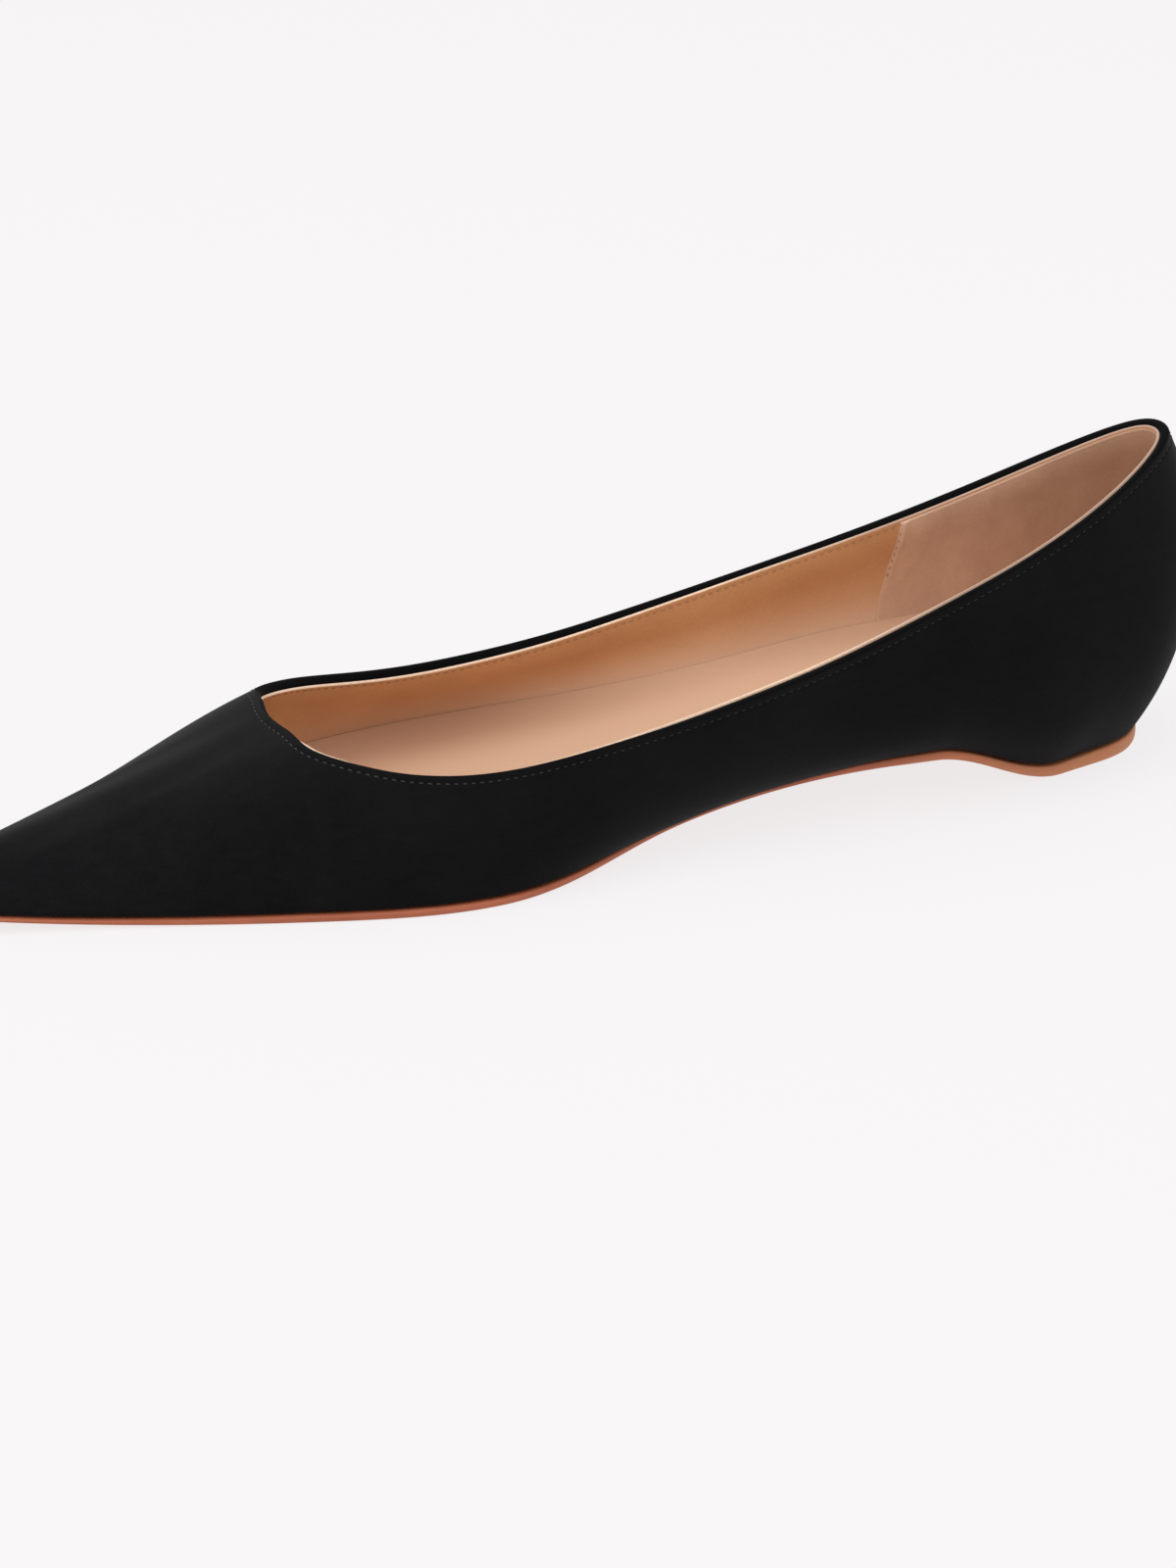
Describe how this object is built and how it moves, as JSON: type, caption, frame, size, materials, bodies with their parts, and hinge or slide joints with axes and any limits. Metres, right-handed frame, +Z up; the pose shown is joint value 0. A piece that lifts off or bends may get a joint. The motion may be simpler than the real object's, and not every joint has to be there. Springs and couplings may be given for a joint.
{
  "type": "pointed toe flat shoe",
  "caption": "Right pointed toe flat shoe with a low topline, a lined suede upper over a hidden low wedge, and a thin leather sole with a raised arch.",
  "frame": {"origin": "floor level, under the middle of the shoe's length and width", "axes": "-X towards the toe, +X towards the heel, -Y the medial (arch) side, +Y the lateral side, +Z up"},
  "size_m": [0.2734, 0.0769, 0.0651],
  "materials": {
    "suede": "matte black suede",
    "lining_leather": "smooth tan lining leather",
    "heel_grip_suede": "matte rosy brown suede leather",
    "raw_edge": "cut edge of the lining",
    "sock_leather": "satin pale tan leather",
    "insole_board": "matte fibre board",
    "sole_leather": "satin reddish tan sole leather",
    "black_thread": "black sewing thread",
    "tan_thread": "reddish tan sewing thread"
  },
  "bodies": {
    "root": {"upper": "suede", "outsole": "sole_leather", "insole": "insole_board", "sock": "sock_leather"}
  },
  "joints": []
}
